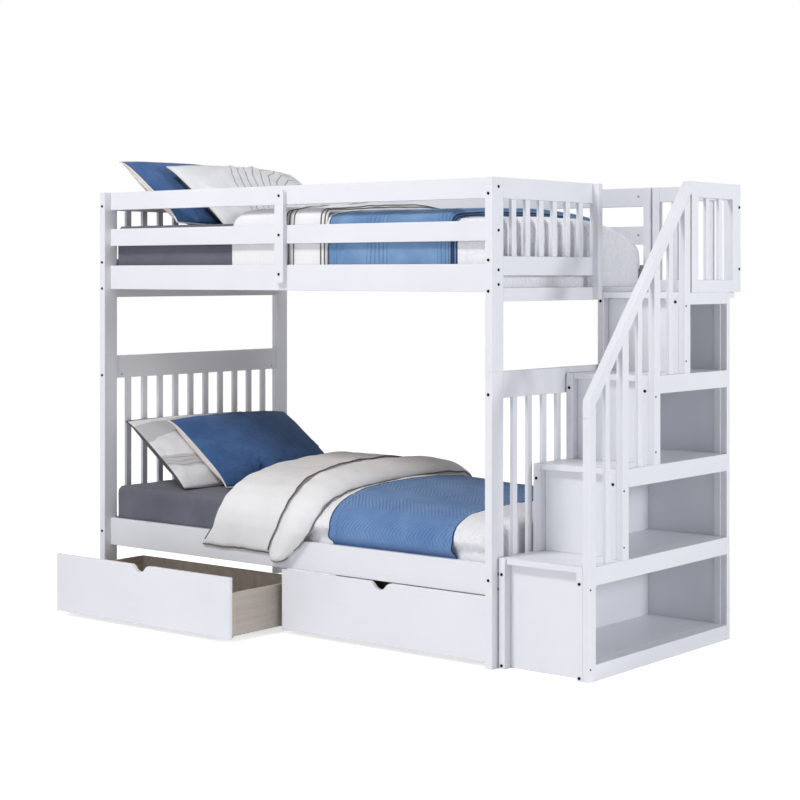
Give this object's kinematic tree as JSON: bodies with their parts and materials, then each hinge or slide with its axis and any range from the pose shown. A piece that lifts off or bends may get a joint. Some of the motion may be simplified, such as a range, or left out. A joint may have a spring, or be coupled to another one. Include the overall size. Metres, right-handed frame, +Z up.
{
  "type": "bunk bed with storage stairs",
  "caption": "Bunk bed with a side staircase of open storage cubbies, guard rails, slatted ends, under-bed drawers on wheels, and made-up bedding.",
  "frame": {"origin": "on the floor, at the middle of the footprint of the bed with its stairs and the drawer as it stands open", "axes": "+X from the head end to the foot end with the stairs, +Y from the drawer side to the back, +Z up"},
  "size_m": [2.363, 1.3654, 1.8122],
  "materials": {
    "white_paint": "satin white paint on solid wood and board",
    "slat_wood": "planed, unpainted",
    "drawer_wood": "clear, matt",
    "black_fasteners": "black oxide",
    "steel_fasteners": "zinc plated",
    "wheel_plastic": "moulded",
    "bracket_plastic": "moulded",
    "mattress_sheet": "slate grey cotton sheet",
    "white_coverlet": "white quilted cotton",
    "duvet_linen": "off-white linen with dark piping",
    "blue_quilt": "blue quilted cotton, zigzag stitching",
    "striped_cotton": "white cotton with thin grey stripes"
  },
  "bodies": {
    "bed": {"back_guard_frame": "white_paint", "barrel_nuts": "steel_fasteners", "bed_slats": "slat_wood", "coverlet_lower": "white_coverlet", "coverlet_upper": "white_coverlet", "duvet_lower": "duvet_linen", "duvet_upper": "duvet_linen", "entrance_post": "white_paint", "foot_lower_rails": "white_paint", "foot_slats": "white_paint", "foot_upper_rails": "white_paint", "frame_bolts": "black_fasteners", "guard_rails": "white_paint", "head_lower_rails": "white_paint", "head_slats": "white_paint", "head_upper_rails": "white_paint", "mattress_lower": "mattress_sheet", "mattress_upper": "mattress_sheet", "pillow_blue_lower": "blue_quilt", "pillow_blue_upper": "blue_quilt", "pillow_striped_lower": "striped_cotton", "pillow_striped_upper": "striped_cotton", "platform_guard_slats": "white_paint", "post_foot_back_lower": "white_paint", "post_foot_back_upper": "white_paint", "post_foot_front_lower": "white_paint", "post_foot_front_upper": "white_paint", "post_head_back_lower": "white_paint", "post_head_back_upper": "white_paint", "post_head_front_lower": "white_paint", "post_head_front_upper": "white_paint", "post_pins": "steel_fasteners", "side_guard_frame": "white_paint", "side_rails": "white_paint", "slat_cleats": "slat_wood", "stair_back_panel": "white_paint", "stair_balusters": "white_paint", "stair_bolts": "black_fasteners", "stair_handrail": "white_paint", "stair_inner_frame": "white_paint", "stair_left_side": "white_paint", "stair_outer_frame": "white_paint", "stair_risers": "white_paint", "stair_screws": "black_fasteners", "stair_treads": "white_paint", "support_boards": "white_paint", "throw_lower": "blue_quilt", "throw_upper": "blue_quilt"},
    "drawer_left": {"drawer_left_front": "white_paint", "drawer_left_box": "drawer_wood", "drawer_left_bottom": "drawer_wood", "drawer_left_wheel_brackets": "bracket_plastic"},
    "drawer_left_front_wheels": {"drawer_left_front_wheels": "wheel_plastic"},
    "drawer_left_back_wheels": {"drawer_left_back_wheels": "wheel_plastic"},
    "drawer_right": {"drawer_right_front": "white_paint", "drawer_right_box": "drawer_wood", "drawer_right_bottom": "drawer_wood", "drawer_right_wheel_brackets": "bracket_plastic"},
    "drawer_right_front_wheels": {"drawer_right_front_wheels": "wheel_plastic"},
    "drawer_right_back_wheels": {"drawer_right_back_wheels": "wheel_plastic"}
  },
  "joints": [
    {"name": "drawer_left_slide", "type": "slide", "parent": "bed", "child": "drawer_left", "axis": [0, -1, 0], "range_m": [-0.272, 0.128]},
    {"name": "drawer_left_front_wheels_spin", "type": "hinge", "parent": "drawer_left", "child": "drawer_left_front_wheels", "pos_m": [-0.668, -0.59675, 0.0205], "axis": [1, 0, 0], "range_deg": [-781, 368]},
    {"name": "drawer_left_back_wheels_spin", "type": "hinge", "parent": "drawer_left", "child": "drawer_left_back_wheels", "pos_m": [-0.668, -0.29675, 0.0205], "axis": [1, 0, 0], "range_deg": [-781, 368]},
    {"name": "drawer_right_slide", "type": "slide", "parent": "bed", "child": "drawer_right", "axis": [0, -1, 0], "range_m": [0, 0.4]},
    {"name": "drawer_right_front_wheels_spin", "type": "hinge", "parent": "drawer_right", "child": "drawer_right_front_wheels", "pos_m": [0.295, -0.32475, 0.0205], "axis": [1, 0, 0], "range_deg": [-1, 1147]},
    {"name": "drawer_right_back_wheels_spin", "type": "hinge", "parent": "drawer_right", "child": "drawer_right_back_wheels", "pos_m": [0.295, -0.02475, 0.0205], "axis": [1, 0, 0], "range_deg": [-1, 1147]}
  ],
  "couplings": [
    {"joint": "drawer_left_front_wheels_spin", "follows": "drawer_left_slide", "rad_per_m": 50},
    {"joint": "drawer_left_back_wheels_spin", "follows": "drawer_left_slide", "rad_per_m": 50},
    {"joint": "drawer_right_front_wheels_spin", "follows": "drawer_right_slide", "rad_per_m": 50},
    {"joint": "drawer_right_back_wheels_spin", "follows": "drawer_right_slide", "rad_per_m": 50}
  ]
}
